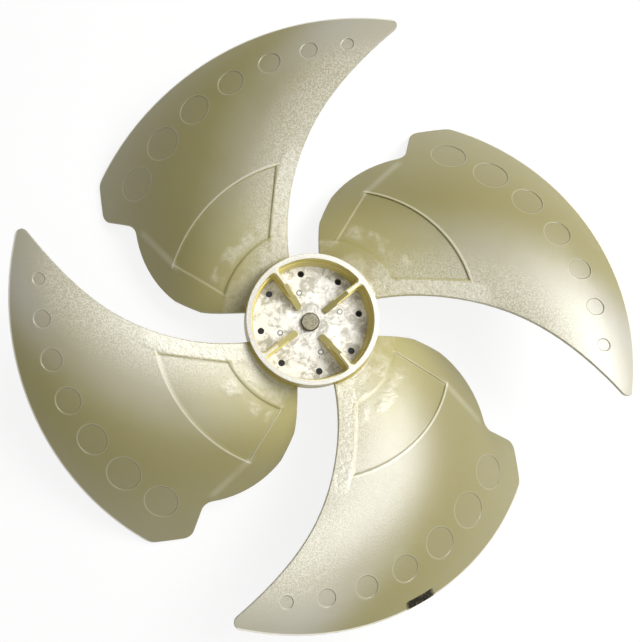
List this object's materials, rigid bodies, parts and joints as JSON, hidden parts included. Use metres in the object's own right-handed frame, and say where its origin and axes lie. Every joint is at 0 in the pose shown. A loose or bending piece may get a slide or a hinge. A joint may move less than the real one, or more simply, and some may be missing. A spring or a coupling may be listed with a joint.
{
  "type": "axial fan impeller",
  "caption": "Axial fan impeller: swept sickle blades with a recessed root panel and round edge dimples, on a short open hub with a metal shaft insert.",
  "frame": {"origin": "on the shaft axis, in the plane of the hub's open rear rim", "axes": "+Z along the shaft axis, from the open rear rim to the ribbed front pocket on the inlet side; +X and +Y square to it, with a blade's leading edge tip just ahead of +Y"},
  "size_m": [0.46, 0.46, 0.1082],
  "materials": {
    "moulded_plastic": "satin, translucent glass-filled plastic as moulded",
    "insert_metal": "dull turned metal"
  },
  "bodies": {
    "root": {"impeller": "moulded_plastic", "shaft_insert": "insert_metal"}
  },
  "joints": []
}
